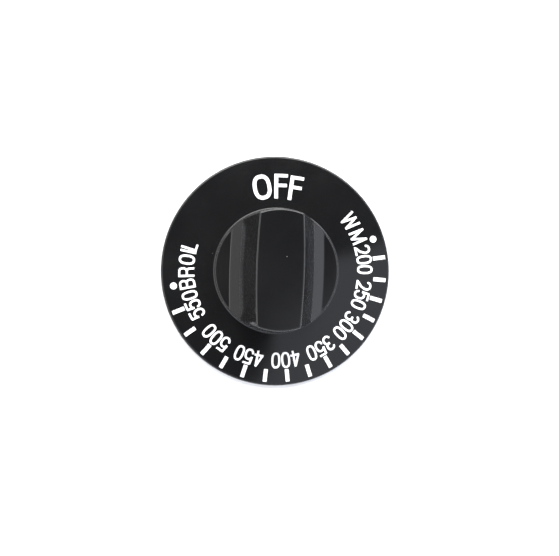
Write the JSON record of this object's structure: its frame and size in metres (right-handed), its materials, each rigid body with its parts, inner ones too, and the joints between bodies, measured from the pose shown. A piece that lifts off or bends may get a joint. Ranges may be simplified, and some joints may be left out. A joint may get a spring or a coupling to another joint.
{
  "type": "thermostat knob",
  "caption": "Round black control dial with a conical skirt, a raised grip bar between two finger wells, a printed temperature scale and a D-shaped shaft hole behind.",
  "frame": {"origin": "centre of the back rim's plane, on the shaft's axis", "axes": "+Z out of the dial's face along the shaft's axis; +Y along the grip bar towards the OFF mark; +X to the right as the dial is read"},
  "size_m": [0.0635, 0.0634, 0.0168],
  "materials": {
    "black_moulding": "glossy thermoset moulding",
    "spring_steel": "bright strip",
    "white_print": "fired white ink"
  },
  "bodies": {
    "root": {"knob_body": "black_moulding", "shaft_spring": "spring_steel"}
  },
  "joints": []
}
